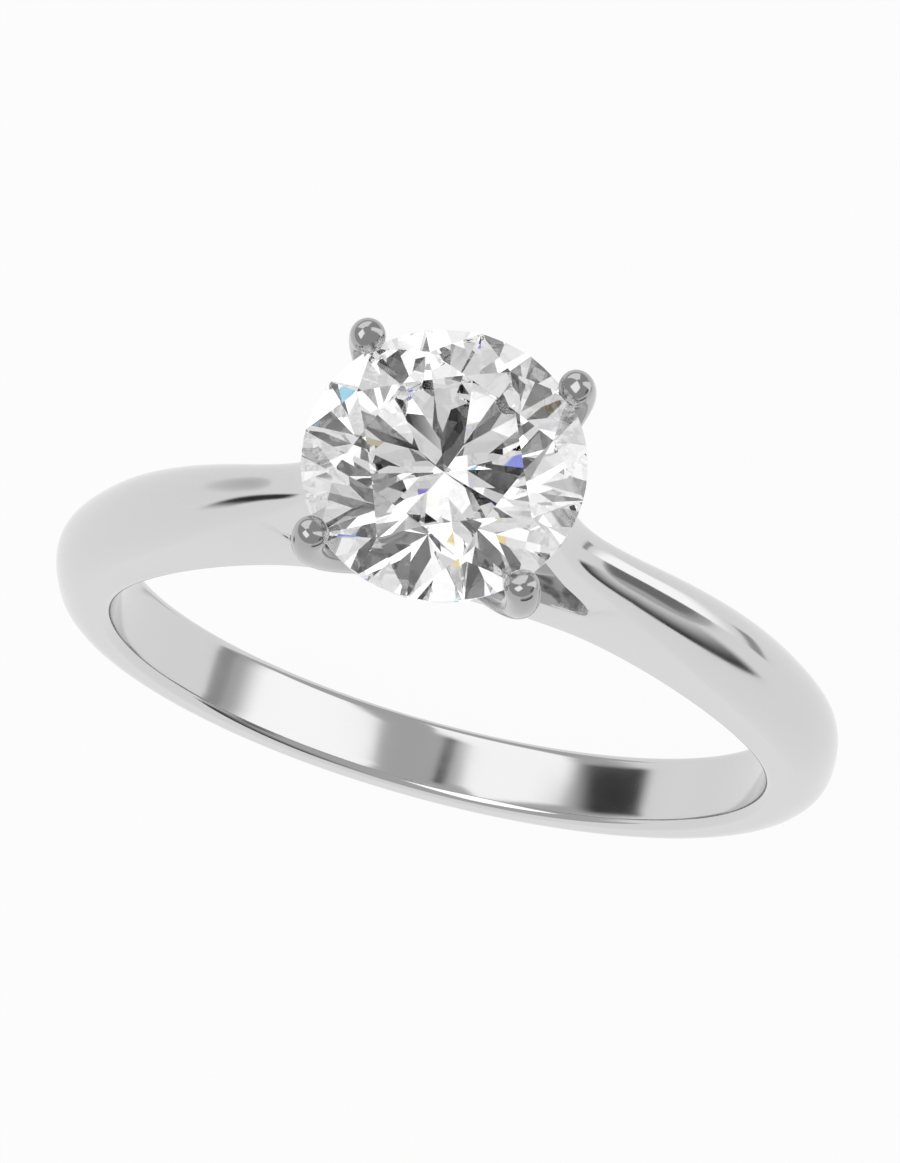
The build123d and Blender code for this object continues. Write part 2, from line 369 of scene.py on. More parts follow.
# ------------------------------------------------------------------ ring body
@dataclass
class RingBody:
    """Band, bridge and both cathedral shoulders, soldered and polished into one skin (millimetres)."""

    finger_radius: float = 8.675
    band_half_width: float = 1.03
    bridge_half_width: float = 0.64
    band_taper: Point = (3.0, 8.0)
    palm_thickness: float = 1.60
    side_thickness: float = 1.62
    palm_dome: float = 0.88
    side_dome: float = 0.97
    palm_blend: float = 80.0
    rim_radius: float = 0.25          # rounded rim of the finger hole
    bridge_rim_radius: float = 0.10   # the same under the head
    rib_tip_half_width: float = 0.52
    rib_taper: Point = (2.6, 8.0)
    rib_dome: tuple[float, float, float, float] = (0.97, 1.27, 0.45, 0.52)
    corner_turn: float = 20.3         # window's bottom corner: its angle from the stone's axis
    corner_radius: float = 10.52      # and its distance from the finger's axis
    corner_share: float = 0.765       # the crown's share at the section through that corner
    bridge_edge_radius: float = 10.275
    bridge_crown_radius: float = 10.395
    bridge_share: float = 0.72        # part of the bridge between the fillets at the windows
    softened: float = 0.035           # rounding of the sharp edges by the polishing
    rows: int = 110                   # sections from the palm to a window
    rib_rows: int = 44                # sections from a window's corner to the head
    bridge_rows: int = 48
    rim_steps: int = 8                # steps round a rim, up a side face, over a dome, across
    flat_steps: int = 4               # steps from a rim to the middle of the finger hole
    low_steps: int = 7
    high_steps: int = 9
    dome_steps: int = 40
    across_steps: int = 12
    crown_points: tuple[Point, ...] = (
        (10.295, 0.0), (10.07, 3.22), (9.14, 6.07), (7.82, 8.55), (6.18, 10.55),
        (4.87, 11.75), (3.95, 12.60), (3.39, 13.35), (3.01, 14.25), (2.82, 15.00))
    arch_points: tuple[Point, ...] = (
        (3.65, 9.867), (3.60, 10.25), (3.42, 10.72), (3.10, 11.30), (2.82, 12.00), (2.50, 12.90))
    upright: Point = (0.0, 1.0)       # way in which both lines start
    crown_end_way: Point = (-0.196, 0.981)    # ways in which they reach the head
    arch_end_way: Point = (-0.34, 0.94)

    def width_at(self, x: float, taper: Point, narrow: float) -> float:
        """Half the width of a side face at a distance from the stone's axis."""
        return eased(x, taper[0], taper[1], narrow, self.band_half_width)

    def dome_at(self, share: float) -> float:
        """Finds how far the crown of a rib curves down to its edges.

        Args:
            share: place along the crown line, 0 to 1.

        Returns:
            The height of the dome over its edges.
        """
        root, middle, tip, place = self.rib_dome
        if share < place:
            return eased(share, 0, place, root, middle)
        return eased(share, place, 1, middle, tip)

    def prepare(self) -> None:
        """Solves the two lines in the ring's plane and the section through the window's corner."""
        self.crown = SmoothLine(self.crown_points, self.upright, self.crown_end_way)
        self.arch = SmoothLine(self.arch_points, self.upright, self.arch_end_way)
        turn = math.radians(self.corner_turn)
        self.corner = np.array((math.sin(turn), math.cos(turn))) * self.corner_radius
        top = self.crown.at(self.corner_share)
        self.corner_way = (top - self.corner) / np.linalg.norm(top - self.corner)
        self.corner_tilt = math.degrees(math.atan2(self.corner_way[0], self.corner_way[1]))

    def hole_point(self, top: np.ndarray, way: np.ndarray) -> np.ndarray:
        """Finds where a line from the crown meets the finger hole.

        Args:
            top: the point on the crown.
            way: unit direction outwards, which the line goes against.

        Returns:
            The point on the hole.
        """
        along = float(top @ way)
        reach = along - math.sqrt(along ** 2 - float(top @ top) + self.finger_radius ** 2)
        return top - way * reach

    def half_section(self, turn: float) -> tuple[np.ndarray, np.ndarray, float, float, float]:
        """Lays out a section below the window.

        Args:
            turn: 0 at the palm, 1 beside the finger, 2 at the window's corner.

        Returns:
            Its foot, way outwards, reach, dome and half-width at the dome's edges.
        """
        if turn <= 1:
            angle = math.radians(180 - 90 * turn)
            way = np.array((math.sin(angle), math.cos(angle)))
            thick = eased(90 * turn, 0, self.palm_blend, self.palm_thickness, self.side_thickness)
            dome = eased(90 * turn, 0, self.palm_blend, self.palm_dome, self.side_dome)
            return way * self.finger_radius, way, thick, dome, self.band_half_width
        share = (turn - 1) * self.corner_share
        top = self.crown.at(share)
        tilt = math.radians(eased(turn, 1, 2, 90, self.corner_tilt))
        way = np.array((math.sin(tilt), math.cos(tilt)))
        foot = self.hole_point(top, way)
        dome = self.dome_at(share)
        edge = top - way * dome
        return foot, way, float(np.linalg.norm(top - foot)), dome, self.width_at(
            edge[0], self.rib_taper, self.rib_tip_half_width)

    def inner_points(self, foot: np.ndarray, way: np.ndarray, half: float) -> list[tuple]:
        """Draws the line across the finger hole with its rounded rims.

        Args:
            foot: the section's foot on the hole.
            way: unit direction outwards.
            half: half the band's width there.

        Returns:
            Points from the back to the front.
        """
        rim = eased(half, self.bridge_half_width, self.band_half_width,
                    self.bridge_rim_radius, self.rim_radius)
        line = []
        for step in range(self.rim_steps + 1):
            a = math.radians(90 * step / self.rim_steps)
            line.append((half - rim + rim * math.cos(a), rim * (1 - math.sin(a))))
        flat = half - rim
        line += [(flat * (1 - step / self.flat_steps), 0.0) for step in range(1, self.flat_steps)]
        line = line + [(0.0, 0.0)] + [(-y, h) for y, h in reversed(line)]
        return [(foot[0] + way[0] * h, y, foot[1] + way[1] * h) for y, h in line]

    def side_points(self, low: Sequence[float], high: Sequence[float], count: int) -> list[tuple]:
        """Points between two points, without them."""
        return [tuple(mixed(low[i], high[i], step / count) for i in range(3)) for step in range(1, count)]

    def dome_points(self, edge: np.ndarray, way: np.ndarray, dome: float, half: float) -> list[tuple]:
        """Draws the half-ellipse over the crown.

        Args:
            edge: middle of the line between the dome's two edges.
            way: unit direction outwards.
            dome: height of the crown over that line.
            half: half the line's length.

        Returns:
            Points from the front edge to the back edge, both ends in it.
        """
        line = []
        for step in range(self.dome_steps + 1):
            a = math.pi * step / self.dome_steps
            y, h = -half * math.cos(a), dome * math.sin(a)
            line.append((edge[0] + way[0] * h, y, edge[1] + way[1] * h))
        return line

    def across(self, front: Sequence[float], back: Sequence[float], rise: np.ndarray) -> list[tuple]:
        """Draws an arched line across the ring.

        Args:
            front: corner where it starts.
            back: corner where it ends.
            rise: how far its middle is lifted, in the ring's plane.

        Returns:
            Points between the two corners, without them.
        """
        line = []
        for step in range(1, self.across_steps):
            share = step / self.across_steps
            lift = 1 - (2 * share - 1) ** 2
            line.append((mixed(front[0], back[0], share) + rise[0] * lift,
                         mixed(front[1], back[1], share),
                         mixed(front[2], back[2], share) + rise[1] * lift))
        return line

    def build(self) -> Mesh:
        """Builds the skin from three sets of sections that share the ones at the windows' corners.

        Returns:
            The skin, in metres.
        """
        self.prepare()
        points: list[tuple] = []
        faces: list[list[int]] = []

        def put(new: Sequence[tuple], mirror: bool) -> list[int]:
            """Adds points.

            Args:
                new: the points, on the right half.
                mirror: puts them on the left half instead.

            Returns:
                Their numbers.
            """
            first = len(points)
            points.extend((-p[0], p[1], p[2]) if mirror else p for p in new)
            return list(range(first, len(points)))

        def join(one: Sequence[int], other: Sequence[int]) -> None:
            """Joins two closed sections by a band of four-sided faces.

            Args:
                one: the first section's point numbers.
                other: the second section's, as many and in the same order.
            """
            for i in range(len(one)):
                k = (i + 1) % len(one)
                faces.append([one[i], one[k], other[k], other[i]])

        def full_section(turn: float, mirror: bool) -> dict[str, list[int]]:
            """Adds a whole section below the windows.

            Args:
                turn: its place, as half_section takes it.
                mirror: puts it on the left half.

            Returns:
                The point numbers of its stretches, by name.
            """
            foot, way, reach, dome, edge_half = self.half_section(turn)
            foot_half = self.band_half_width if turn <= 1 else self.width_at(
                foot[0], self.band_taper, self.bridge_half_width)
            inner = self.inner_points(foot, way, foot_half)
            edge = foot + way * (reach - dome)
            arc = self.dome_points(edge, way, dome, edge_half)
            level = self.corner_level
            low_front, low_back = inner[-1], inner[0]
            front = tuple(mixed(low_front[i], arc[0][i], level) for i in range(3))
            back = tuple(mixed(low_back[i], arc[-1][i], level) for i in range(3))
            return {
                "inner": put(inner, mirror),
                "front_low": put(self.side_points(low_front, front, self.low_steps), mirror),
                "front": put([front], mirror),
                "front_high": put(self.side_points(front, arc[0], self.high_steps), mirror),
                "dome": put(arc, mirror),
                "back_high": put(self.side_points(arc[-1], back, self.high_steps), mirror),
                "back": put([back], mirror),
                "back_low": put(self.side_points(back, low_back, self.low_steps), mirror),
            }

        foot, way, reach, dome, _ = self.half_section(2.0)
        rim = self.bridge_rim_radius
        self.corner_level = (float(np.linalg.norm(self.corner - foot)) - rim) / (reach - dome - rim)
        below = ("inner", "front_low", "front", "front_high", "dome", "back_high", "back", "back_low")
        turns = [2 * i / self.rows for i in range(self.rows, 0, -1)]
        sections = [full_section(t, False) for t in turns] + [full_section(0.0, False)]
        sections += [full_section(t, True) for t in reversed(turns)]
        loops = [[i for key in below for i in part[key]] for part in sections]
        for one, other in zip(loops, loops[1:]):
            join(one, other)
        ends = (sections[0], sections[-1])
        flat = np.array((0.0, 0.0))
        crossings = [put(self.across(points[part["front"][0]], points[part["back"][0]], flat), False)
                     for part in ends]
        for part, crossing, mirror in zip(ends, crossings, (False, True)):
            upper = (part["front"] + part["front_high"] + part["dome"] + part["back_high"]
                     + part["back"] + crossing[::-1])
            last = upper
            for row in range(1, self.rib_rows + 1):
                share = row / self.rib_rows
                crown_share = mixed(self.corner_share, 1.0, share)
                top, low = self.crown.at(crown_share), self.arch.at(share)
                way = (top - low) / np.linalg.norm(top - low)
                dome = self.dome_at(crown_share)
                edge = top - way * dome
                half = self.width_at(edge[0], self.rib_taper, self.rib_tip_half_width)
                low_half = self.width_at(low[0], self.rib_taper, self.rib_tip_half_width)
                arc = self.dome_points(edge, way, dome, half)
                front, back = (low[0], -low_half, low[1]), (low[0], low_half, low[1])
                row_points = [front, *self.side_points(front, arc[0], self.high_steps), *arc,
                              *self.side_points(arc[-1], back, self.high_steps), back,
                              *self.across(back, front, flat)]
                loop = put(row_points, mirror)
                join(last, loop)
                last = loop
            faces.append(last)
        lower = [part["inner"] + part["front_low"] + part["front"] + crossing + part["back"]
                 + part["back_low"] for part, crossing in zip(ends, crossings)]
        foot_turn = math.atan2(foot[0], foot[1])
        corner_turn = math.radians(self.corner_turn)
        last = lower[0]
        for row in range(1, self.bridge_rows):
            share = 1 - 2 * row / self.bridge_rows
            a, b = foot_turn * share, corner_turn * share
            low = np.array((math.sin(a), math.cos(a))) * self.finger_radius
            radius = eased(share, self.bridge_share, 1.0, self.bridge_edge_radius, self.corner_radius)
            high = np.array((math.sin(b), math.cos(b))) * radius
            crown_radius = min(self.bridge_crown_radius, self.bridge_edge_radius / math.cos(b))
            way = (high - low) / np.linalg.norm(high - low)
            rise = way * max(crown_radius - radius, 0.0)
            half = self.width_at(low[0], self.band_taper, self.bridge_half_width)
            inner = self.inner_points(low, way, half)
            high_half = self.width_at(high[0], self.rib_taper, self.bridge_half_width)
            front, back = (high[0], -high_half, high[1]), (high[0], high_half, high[1])
            loop = put([*inner, *self.side_points(inner[-1], front, self.low_steps), front,
                        *self.across(front, back, rise), back,
                        *self.side_points(back, inner[0], self.low_steps)], False)
            join(last, loop)
            last = loop
        join(last, lower[1])
        return mesh_from("ring_body", points, faces, self.softened)

    def make(self, metal: Material) -> Object:
        """Builds and dresses the ring body, which stands for the shank and both shoulders.

        Args:
            metal: its finish.

        Returns:
            The piece.
        """
        piece = new_object("ring_body", self.build())
        piece.data.materials.append(metal)
        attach(piece, "root")
        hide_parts("shank", "shoulder_left", "shoulder_right")
        return piece


# ----------------------------------------------------------------- the stone
@dataclass
class CentreStone:
    """Round brilliant, cut by the maker's angles (millimetres and degrees)."""

    diameter: float = 6.50
    girdle_height: float = 16.46
    girdle_thickness: float = 0.16
    table_share: float = 0.57
    crown_angle: float = 34.5
    pavilion_angle: float = 40.8
    star_share: float = 0.50
    lower_half_share: float = 0.78
    turn: float = 0.0

    def sizes(self) -> dict[str, float]:
        """Works out the stone's corners from its cut.

        Returns:
            Their reaches and heights, by the names of the tree's inputs.
        """
        radius = self.diameter / 2
        half = self.girdle_thickness / 2
        crown = math.tan(math.radians(self.crown_angle))
        pavilion = math.tan(math.radians(self.pavilion_angle))
        eighth = math.radians(45)
        table = self.table_share * radius
        table_edge = table * math.cos(eighth / 2)
        star = table_edge + self.star_share * (radius - table_edge)
        low = (1 - self.lower_half_share) * radius
        star_height = half + (radius - star * math.cos(eighth / 2)) * crown
        low_height = -half - (radius - low * math.cos(eighth / 2)) * pavilion

        def slope(reach: float, height: float) -> float:
            """Finds how steep a half facet is.

            Args:
                reach: its lone corner's distance from the axis.
                height: that corner's height over the girdle's middle.

            Returns:
                Its fall for each millimetre outwards.
            """
            corners = [np.array((radius * math.cos(a), radius * math.sin(a), half * np.sign(height)))
                       for a in (0.0, eighth / 2)]
            point = np.array((reach * math.cos(eighth / 2), reach * math.sin(eighth / 2), height))
            normal = np.cross(corners[1] - corners[0], point - corners[0])
            return abs(math.hypot(normal[0], normal[1]) / normal[2])

        return {
            "Girdle Radius": radius, "Half Girdle": half,
            "Table Radius": table, "Table Height": half + (radius - table) * crown,
            "Star Radius": star, "Star Height": star_height,
            "Lower Radius": low, "Lower Height": low_height,
            "Culet Height": -half - radius * pavilion,
            "Upper Half Slope": slope(star, star_height),
            "Lower Half Slope": slope(low, low_height),
            "Turn": math.radians(self.turn), "Height": self.girdle_height,
        }

    def tree(self) -> NodeTree:
        """Makes the geometry nodes that set out the corners and stretch flat facets over them.

        Returns:
            The tree.
        """
        tree, given = start_shape("round_brilliant", self.sizes())
        girdle_points = 192
        half_facet = math.radians(22.5)

        def ring(reach: NodeSocket, height: NodeSocket, half_turn: bool) -> NodeSocket:
            """Adds eight corners in a circle.

            Args:
                reach: their distance from the axis.
                height: their height.
                half_turn: turns them by half an eighth.

            Returns:
                The corners.
            """
            circle = add_node(tree, "GeometryNodeMeshCircle", {"Radius": reach}, {"Vertices": 8})
            spun = (0.0, 0.0, half_facet if half_turn else 0.0)
            moved = add_node(tree, "GeometryNodeTransform",
                             {"Geometry": circle.outputs["Mesh"], "Translation": vector(tree, Z=height)},
                             {"Rotation": spun})
            return moved.outputs["Geometry"]

        def girdle(side: float, slope: NodeSocket) -> NodeSocket:
            """Adds the scalloped edge where the half facets run out on the round girdle.

            Args:
                side: 1 for the crown's edge, -1 for the pavilion's.
                slope: how steep the half facets are.

            Returns:
                The edge.
            """
            circle = add_node(tree, "GeometryNodeMeshCircle", {"Radius": given["Girdle Radius"]},
                              {"Vertices": girdle_points})
            order = add_node(tree, "GeometryNodeInputIndex")
            angle = reckon(tree, "MULTIPLY", order.outputs[0], math.tau / girdle_points)
            within = reckon(tree, "MODULO", angle, half_facet)
            cosine = reckon(tree, "COSINE", reckon(tree, "SUBTRACT", within, half_facet / 2))
            bulge = reckon(tree, "SUBTRACT", cosine, math.cos(half_facet / 2))
            out = reckon(tree, "MULTIPLY", bulge, given["Girdle Radius"])
            drop = reckon(tree, "MULTIPLY", out, slope)
            left = reckon(tree, "SUBTRACT", given["Half Girdle"], drop)
            shift = vector(tree, Z=reckon(tree, "MULTIPLY", left, side))
            moved = add_node(tree, "GeometryNodeSetPosition",
                             {"Geometry": circle.outputs["Mesh"], "Offset": shift})
            return moved.outputs["Geometry"]

        tip = vector(tree, Z=given["Culet Height"])
        culet = add_node(tree, "GeometryNodeMeshLine", {"Start Location": tip}, {"Count": 1})
        parts = (
            ring(given["Table Radius"], given["Table Height"], False),
            ring(given["Star Radius"], given["Star Height"], True),
            girdle(1.0, given["Upper Half Slope"]),
            girdle(-1.0, given["Lower Half Slope"]),
            ring(given["Lower Radius"], given["Lower Height"], True),
            culet.outputs["Mesh"],
        )
        joined = add_node(tree, "GeometryNodeJoinGeometry")
        for part in parts:
            tree.links.new(part, joined.inputs["Geometry"])
        hull = add_node(tree, "GeometryNodeConvexHull", {"Geometry": joined.outputs["Geometry"]})
        placed = add_node(tree, "GeometryNodeTransform",
                          {"Geometry": hull.outputs[0], "Rotation": vector(tree, Z=given["Turn"]),
                           "Translation": vector(tree, Z=given["Height"])})
        metres = add_node(tree, "GeometryNodeTransform", {"Geometry": placed.outputs[0]},
                          {"Scale": (MM, MM, MM)})
        end_shape(tree, metres, given)
        return tree

    def make(self, diamond: Material) -> Object:
        """Builds and dresses the stone, which stands for the CAD stone.

        Args:
            diamond: its finish.

        Returns:
            The piece.
        """
        piece = grown("brilliant", self.tree(), {**self.sizes(), "Material": diamond})
        for face in piece.data.polygons:
            face.use_smooth = False
        work = bmesh.new()
        work.from_mesh(piece.data)
        bmesh.ops.dissolve_limit(work, angle_limit=FLAT_ANGLE, verts=work.verts, edges=work.edges)
        work.to_mesh(piece.data)
        work.free()
        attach(piece, "root")
        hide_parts("centre_stone")
        return piece


def grown(name: str, tree: NodeTree, inputs: dict[str, Any]) -> Object:
    """Runs a geometry node tree and keeps its result as a plain mesh.

    Args:
        name: the new object's name.
        tree: the geometry node tree.
        inputs: the tree's input names, to their values.

    Returns:
        An object at the origin with no modifier left on it.
    """
    piece = new_object(name, bpy.data.meshes.new(name))
    modifier = piece.modifiers.new("shape", "NODES")
    modifier.node_group = tree
    for item in tree.interface.items_tree:
        if item.item_type == "SOCKET" and item.in_out == "INPUT" and item.name in inputs:
            modifier[item.identifier] = inputs[item.name]
    graph = bpy.context.evaluated_depsgraph_get()
    mesh = bpy.data.meshes.new_from_object(piece.evaluated_get(graph))
    piece.modifiers.remove(modifier)
    mesh.name = name
    piece.data = mesh
    return piece


# ------------------------------------------------------------------ the head
@dataclass
class Head:
    """Four claws, the gallery rail that joins them, and the collet they stand on (millimetres)."""

    claw_radius: float = 0.42
    bead_radius: float = 0.41
    claw_foot_reach: float = 1.00
    claw_reach: float = 4.05
    claw_tip_reach: float = 3.32
    claw_tip_top: float = 17.14
    claw_knee: float = 15.95
    bent_share: float = 0.40              # share of the way from the knee to the foot that bends
    bead_shape: Point = (2.6, 2.2)        # powers that round the end; both 2 would be a ball
    bead_neck: Point = (0.5, 1.3)         # where the end narrows to the wire, back from the tip
    bend_steps: int = 64
    wire_rows: int = 260
    wire_sides: int = 40
    bridge_flat: float = 10.275
    collet_height: float = 1.00
    collet_top_radius: float = 1.50
    collet_foot_radius: float = 1.00
    collet_hole_radius: float = 0.48
    collet_flare: float = 1.3             # power of its bell shape
    collet_steps: int = 10
    collet_edge: float = 0.05             # rounding of its edges, and of the rail's
    rail_edge: float = 0.12
    rail_radius: float = 2.33
    rail_height: float = 14.45
    rail_half_width: float = 0.25
    rail_half_height: float = 0.31

    def claw_tree(self) -> NodeTree:
        """Makes the geometry nodes for one claw: a bent wire with a swollen, rounded end.

        Returns:
            The tree.
        """
        tree, given = start_shape("claw_wire", (
            "Foot Reach", "Foot Height", "Reach", "Knee Height", "Tip Reach", "Tip Top",
            "Wire Radius", "Bead Radius", "Turn"))
        foot = vector(tree, X=given["Foot Reach"], Z=given["Foot Height"])
        knee = vector(tree, X=given["Reach"], Z=given["Knee Height"])
        tip = vector(tree, X=given["Tip Reach"], Z=given["Tip Top"])
        way = add_node(tree, "ShaderNodeVectorMath", {0: foot, 1: knee}, operation="SUBTRACT")
        down = add_node(tree, "ShaderNodeVectorMath", {0: way.outputs[0]}, {"Scale": self.bent_share},
                        operation="SCALE")
        bend = add_node(tree, "ShaderNodeVectorMath", {0: knee, 1: down.outputs[0]}, operation="ADD")
        wire = add_node(tree, "GeometryNodeCurvePrimitiveBezierSegment",
                        {"Start": foot, "Start Handle": bend.outputs[0], "End Handle": knee, "End": tip},
                        {"Resolution": self.bend_steps})
        even = add_node(tree, "GeometryNodeResampleCurve", {"Curve": wire.outputs[0]},
                        {"Count": self.wire_rows})
        length = add_node(tree, "GeometryNodeCurveLength", {"Curve": even.outputs[0]})
        here = add_node(tree, "GeometryNodeSplineParameter")
        left = reckon(tree, "SUBTRACT", length.outputs[0], here.outputs["Length"])
        inside = reckon(tree, "SUBTRACT", 1.0, reckon(tree, "DIVIDE", left, given["Bead Radius"]),
                        clamp=True)
        bulge, flatness = self.bead_shape
        rest = reckon(tree, "SUBTRACT", 1.0, reckon(tree, "POWER", inside, bulge), clamp=True)
        rounded = reckon(tree, "POWER", rest, 1 / flatness)
        swell = add_node(tree, "ShaderNodeMapRange",
                         {"Value": left, "To Min": given["Bead Radius"],
                          "To Max": given["Wire Radius"]},
                         {"From Min": self.bead_neck[0], "From Max": self.bead_neck[1]},
                         interpolation_type="SMOOTHSTEP")
        thick = reckon(tree, "MULTIPLY", swell.outputs["Result"], rounded)
        round_wire = add_node(tree, "GeometryNodeCurvePrimitiveCircle",
                              values={"Radius": 1.0, "Resolution": self.wire_sides})
        skin = add_node(tree, "GeometryNodeCurveToMesh",
                        {"Curve": even.outputs[0], "Profile Curve": round_wire.outputs[0],
                         "Scale": thick}, {"Fill Caps": True})
        turned = add_node(tree, "GeometryNodeTransform",
                          {"Geometry": skin.outputs[0], "Rotation": vector(tree, Z=given["Turn"])},
                          {"Scale": (MM, MM, MM)})
        closed = add_node(tree, "GeometryNodeMergeByDistance", {"Geometry": turned.outputs[0]},
                          {"Distance": SAME_POINT * MM})
        end_shape(tree, closed, given)
        return tree

    def make_claws(self, metal: Material) -> list[Object]:
        """Builds and dresses the four claws.

        Args:
            metal: their finish.

        Returns:
            The four pieces.
        """
        tree = self.claw_tree()
        claws = []
        for side in Side:
            node, turn = side.value
            claw = grown(f"{node}_wire", tree, {
                "Foot Reach": self.claw_foot_reach, "Foot Height": self.bridge_flat + self.collet_height,
                "Reach": self.claw_reach, "Knee Height": self.claw_knee,
                "Tip Reach": self.claw_tip_reach, "Tip Top": self.claw_tip_top,
                "Wire Radius": self.claw_radius, "Bead Radius": self.bead_radius,
                "Turn": math.radians(turn), "Material": metal})
            for face in claw.data.polygons:
                face.use_smooth = True
            outward(claw.data)
            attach(claw, "root")
            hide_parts(node)
            claws.append(claw)
        return claws

    def lathe(self, name: str, profile: Sequence[Point], bevel: float) -> Mesh:
        """Turns a closed profile about the stone's axis.

        Args:
            name: the mesh's name.
            profile: corners as distance from the axis and height.
            bevel: rounding of its edges.

        Returns:
            The turned mesh, in metres.
        """
        count = 128
        points = [(r * math.cos(math.tau * i / count), r * math.sin(math.tau * i / count), z)
                  for i in range(count) for r, z in profile]
        size = len(profile)
        faces = [[i * size + k, ((i + 1) % count) * size + k,
                  ((i + 1) % count) * size + (k + 1) % size, i * size + (k + 1) % size]
                 for i in range(count) for k in range(size)]
        return mesh_from(name, points, faces, bevel)

    def make_rail(self, metal: Material) -> Object:
        """Builds and dresses the gallery rail.

        Args:
            metal: its finish.

        Returns:
            The piece.
        """
        r, z, w, h = self.rail_radius, self.rail_height, self.rail_half_width, self.rail_half_height
        profile = [(r - w, z - h), (r + w, z - h), (r + w, z + h), (r - w, z + h)]
        piece = new_object("gallery_rail_wire", self.lathe("gallery_rail_wire", profile, self.rail_edge))
        return self.dress(piece, metal, "gallery_rail")

    def make_collet(self, metal: Material) -> Object:
        """Builds and dresses the collet, flared like a bell from its foot to the claws.

        Args:
            metal: its finish.

        Returns:
            The piece.
        """
        low, high = self.bridge_flat, self.bridge_flat + self.collet_height
        shares = [i / self.collet_steps for i in range(self.collet_steps + 1)]
        outside = [(self.collet_foot_radius + (self.collet_top_radius - self.collet_foot_radius)
                    * share ** self.collet_flare, mixed(low, high, share)) for share in shares]
        profile = outside + [(self.collet_hole_radius, high), (self.collet_hole_radius, low)]
        piece = new_object("base_collet_bell", self.lathe("base_collet_bell", profile, self.collet_edge))
        return self.dress(piece, metal, "base_collet")

    def dress(self, piece: Object, metal: Material, node: str) -> Object:
        """Gives a turned piece its metal and its place in the frame.

        Args:
            piece: the piece.
            metal: its finish.
            node: the CAD node that it stands for.

        Returns:
            The same piece.
        """
        piece.data.materials.append(metal)
        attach(piece, "root")
        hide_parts(node)
        return piece

    def dress_peg(self, metal: Material) -> Object:
        """Gives the hidden peg, whose CAD shape is right, its metal.

        Args:
            metal: its finish.

        Returns:
            The peg.
        """
        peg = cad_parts["head_peg"]
        for slot in peg.material_slots:
            slot.material = metal
        return peg


def outward(mesh: Mesh) -> None:
    """Turns a closed mesh's faces outwards.

    Args:
        mesh: the mesh, which is changed in place.
    """
    work = bmesh.new()
    work.from_mesh(mesh)
    bmesh.ops.recalc_face_normals(work, faces=work.faces)
    work.to_mesh(mesh)
    work.free()


# -------------------------------------------------------------------- studio
@dataclass(frozen=True)
class Card:
    """Curved studio card that only polished surfaces see (millimetres and degrees).

    It stands on part of an upright cylinder round the ring's axis, so that it fills the same
    directions whichever part of the ring mirrors it. Its edges fade out.
    """

    name: str
    azimuth: float                # middle of the card, from the front (-Y) towards +X
    spread: float                 # width, as an angle
    low: float
    high: float
    radius: float
    shade: float                  # grey level that a mirror shows, 0 black to 1 white
    seen: Seen = Seen.BOTH
    fade: tuple[float, float, float] = (0.1, 0.1, 0.1)    # share faded at the sides, foot and top
    tint: str = "#ffffff"

    def material(self) -> Material:
        """Makes lit or shaded paper that fades out towards its edges.

        Returns:
            The material.
        """
        material, tree = new_material(f"{self.name}_paper")
        tree.nodes.remove(tree.nodes["Principled BSDF"])
        paper = add_node(tree, "ShaderNodeEmission",
                         values={"Color": srgb(self.tint), "Strength": self.shade})
        clear = add_node(tree, "ShaderNodeBsdfTransparent")
        place = add_node(tree, "ShaderNodeUVMap", uv_map="card")
        parts = add_node(tree, "ShaderNodeSeparateXYZ", {0: place.outputs["UV"]})
        aside = reckon(tree, "ABSOLUTE", reckon(tree, "SUBTRACT", parts.outputs["X"], 0.5))
        sides, foot, top = self.fade
        edges = [add_node(tree, "ShaderNodeMapRange", {"Value": source},
                          {"From Min": start, "From Max": end, "To Min": 0.0, "To Max": 1.0},
                          interpolation_type="SMOOTHSTEP")
                 for source, start, end in ((aside, 0.5, 0.499 - sides / 2),
                                            (parts.outputs["Y"], 0.0, 0.001 + foot),
                                            (parts.outputs["Y"], 1.0, 0.999 - top))]
        lower = reckon(tree, "MULTIPLY", edges[0].outputs[0], edges[1].outputs[0])
        cover = reckon(tree, "MULTIPLY", lower, edges[2].outputs[0])
        both = add_node(tree, "ShaderNodeMixShader", {0: cover, 1: clear.outputs[0], 2: paper.outputs[0]})
        tree.links.new(both.outputs["Shader"], tree.nodes["Material Output"].inputs["Surface"])
        return material

    def make(self) -> None:
        """Builds the card."""
        count = 24
        mesh = bpy.data.meshes.new(self.name)
        points, faces = [], []
        for i in range(count + 1):
            a = math.radians(self.azimuth + self.spread * (i / count - 0.5))
            for z in (self.low, self.high):
                points.append((self.radius * math.sin(a) * MM, -self.radius * math.cos(a) * MM, z * MM))
        for i in range(count):
            faces.append((2 * i, 2 * i + 2, 2 * i + 3, 2 * i + 1))
        mesh.from_pydata(points, [], faces)
        layer = mesh.uv_layers.new(name="card")
        for loop in mesh.loops:
            layer.data[loop.index].uv = (loop.vertex_index // 2 / count, loop.vertex_index % 2)
        mesh.materials.append(self.material())
        card = new_object(self.name, mesh)
        card.visible_camera = False
        card.visible_diffuse = False
        card.visible_shadow = False
        card.visible_glossy = self.seen is not Seen.STONE
        card.visible_transmission = self.seen is not Seen.METAL


